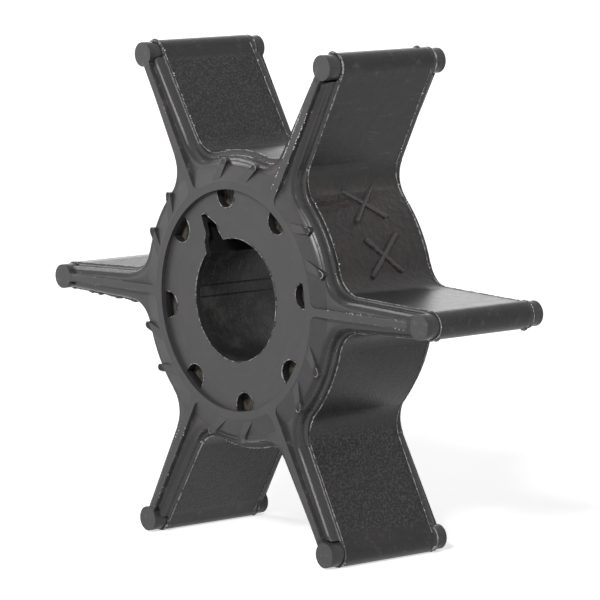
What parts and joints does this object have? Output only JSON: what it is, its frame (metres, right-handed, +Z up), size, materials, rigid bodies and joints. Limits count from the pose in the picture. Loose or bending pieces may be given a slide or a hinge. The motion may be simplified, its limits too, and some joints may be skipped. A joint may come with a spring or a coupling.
{
  "type": "pump impeller",
  "caption": "Flexible rubber pump impeller: straight vanes with round beads at their tips round a keyed hub bush.",
  "frame": {"origin": "centre of the bore, halfway through the width", "axes": "+Y along the bore towards the plain back face, +Z up between two vanes, +X to the right along a vane, seen from the marked face"},
  "size_m": [0.0566, 0.0148, 0.0494],
  "materials": {
    "rubber": "satin",
    "bush": "satin"
  },
  "bodies": {
    "root": {"impeller_body": "rubber", "hub_bush": "bush"}
  },
  "joints": []
}
